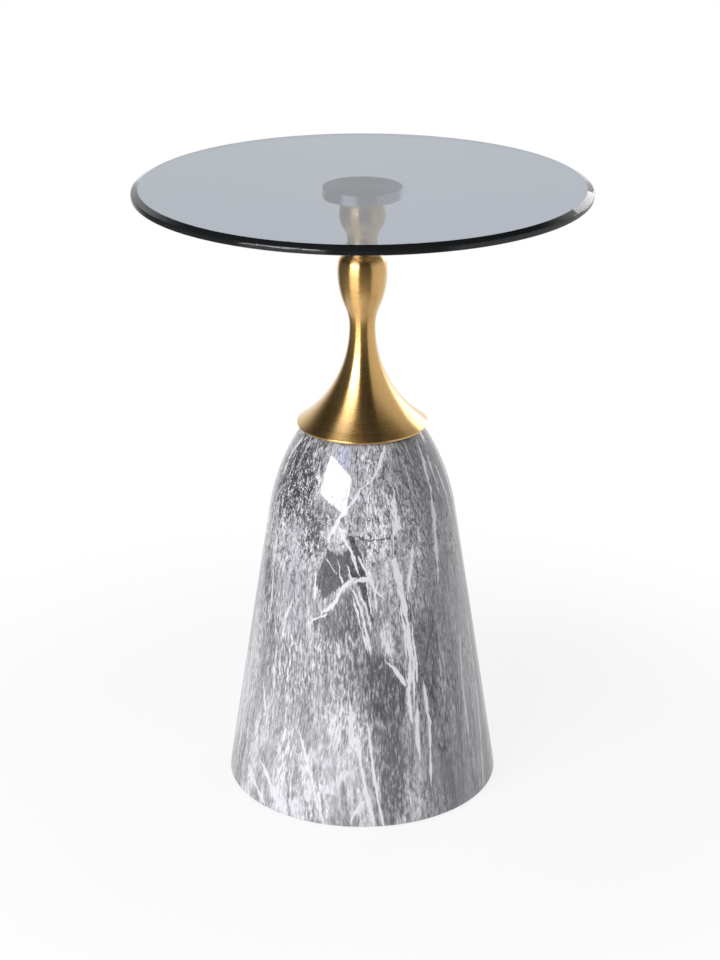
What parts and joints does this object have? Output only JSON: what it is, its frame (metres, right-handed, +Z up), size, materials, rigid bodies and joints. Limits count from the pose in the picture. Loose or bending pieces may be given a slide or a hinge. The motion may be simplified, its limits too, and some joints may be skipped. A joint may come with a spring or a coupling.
{
  "type": "wine table",
  "caption": "Small round table: bevelled tinted glass top on a brushed disc, brass-coloured pear stem flaring to a skirt, and a tall marble-finished bell base.",
  "frame": {"origin": "on the floor, at the centre of the base", "axes": "+Z up along the stem's axis of turning; the picture looks along +Y"},
  "size_m": [0.4299, 0.43, 0.6065],
  "materials": {
    "tinted_glass": "grey tinted float glass, polished, bevelled edge",
    "clear_bond": "clear cured bonding layer",
    "brushed_disc": "circular brushed silver",
    "brushed_brass": "brass-coloured metal, fine hairlines around the axis",
    "plain_steel": "zinc plated steel",
    "soft_gasket": "matt black elastomer",
    "marble_gloss": "grey marble finish under high gloss lacquer",
    "plywood": "unfinished plywood",
    "black_plate": "black powder coat",
    "iron": "raw casting",
    "foot_felt": "soft dark grey pad"
  },
  "bodies": {
    "root": {"glass_top": "tinted_glass", "bond_film": "clear_bond", "mount_disc": "brushed_disc", "upper_bulb": "brushed_brass", "neck_bush": "plain_steel", "flared_stem": "brushed_brass", "seat_plate": "plain_steel", "skirt_gasket": "soft_gasket", "base_shell": "marble_gloss", "crown_plate": "plain_steel", "clamp_washer": "plain_steel", "clamp_nut": "plain_steel", "tie_rod": "plain_steel", "foot_ring": "plywood", "bottom_plate": "black_plate", "ballast_disc": "iron", "ballast_nuts": "plain_steel", "plate_screws": "plain_steel", "foot_pad_1": "foot_felt", "foot_pad_2": "foot_felt", "foot_pad_3": "foot_felt", "foot_pad_4": "foot_felt", "foot_pad_5": "foot_felt", "foot_pad_6": "foot_felt"}
  },
  "joints": []
}
